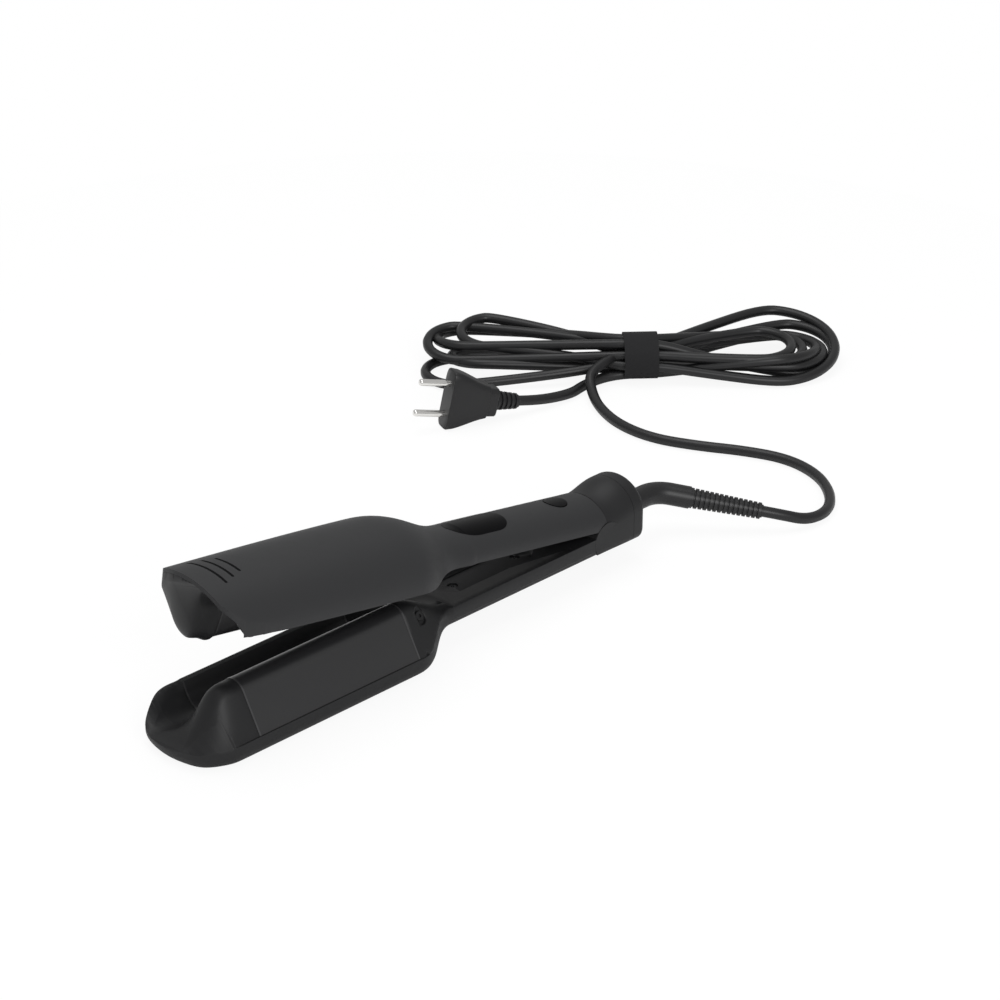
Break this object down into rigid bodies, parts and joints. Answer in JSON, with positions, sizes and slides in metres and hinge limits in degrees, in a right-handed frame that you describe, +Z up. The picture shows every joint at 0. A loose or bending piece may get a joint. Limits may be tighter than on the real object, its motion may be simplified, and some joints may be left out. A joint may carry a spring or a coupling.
{
  "type": "hair waver",
  "caption": "Matte black hair waver lying open, with nested S-wave plates, a winged cover, a display window, a power button and a tied cord with a two-pin plug.",
  "frame": {"origin": "centre of the tool's footprint, on the plane of the lower jaw's flat underside", "axes": "+X from the nose tip to the cord end, +Z up from the resting face"},
  "size_m": [0.5933, 0.31, 0.0922],
  "materials": {
    "matte_shell": "matte",
    "matte_body": "satin",
    "plate_coating": "gloss",
    "trim": "satin",
    "inner_resin": "matte",
    "heater_ceramic": "matte",
    "steel": "satin",
    "lens": "gloss",
    "board": "satin",
    "cord_rubber": "satin",
    "strap_fabric": "matte",
    "pin_metal": "gloss"
  },
  "bodies": {
    "lower_arm": {"lower_shell": "matte_body", "lower_inner_cover": "matte_body", "lower_wave_plate": "plate_coating", "lower_front_trim": "trim", "lower_rear_trim": "trim", "lower_plate_carrier": "inner_resin", "lower_heater": "heater_ceramic", "lower_heater_clamp": "steel", "lower_heat_sensor": "steel", "hinge_housing": "matte_body", "end_cap": "matte_body", "hinge_pin": "steel", "hinge_spring": "steel", "cord_boot": "cord_rubber", "cord_relief": "cord_rubber", "cord": "cord_rubber", "cord_tail": "cord_rubber", "cord_hank": "cord_rubber", "cord_strap": "strap_fabric", "plug_boot": "cord_rubber", "plug_body": "cord_rubber", "plug_pin_upper": "pin_metal", "plug_pin_lower": "pin_metal"},
    "upper_arm": {"upper_shell": "matte_shell", "upper_nose": "matte_body", "upper_inner_cover": "matte_body", "upper_wave_plate": "plate_coating", "upper_front_trim": "trim", "upper_rear_trim": "trim", "upper_plate_carrier": "inner_resin", "upper_heater": "heater_ceramic", "upper_heater_clamp": "steel", "upper_heat_sensor": "steel", "display_lens": "lens", "display_module": "inner_resin", "circuit_board": "board", "button_switch": "inner_resin"},
    "button": {"power_button": "lens"},
    "swivel": {"swivel_collar": "matte_body"}
  },
  "joints": [
    {"name": "arm_hinge", "type": "hinge", "parent": "lower_arm", "child": "upper_arm", "pos_m": [0.1267, 0, 0.0199], "axis": [0, 1, 0], "range_deg": [-9.2, 0], "stiffness_Nm_per_rad": 0.8},
    {"name": "button_press", "type": "slide", "parent": "upper_arm", "child": "button", "axis": [-0.165, 0, -0.9863], "range_m": [0, 0.0008], "stiffness_N_per_m": 600},
    {"name": "cord_swivel", "type": "hinge", "parent": "lower_arm", "child": "swivel", "pos_m": [0.155, 0, 0.0225], "axis": [1, 0, 0], "continuous": true}
  ]
}
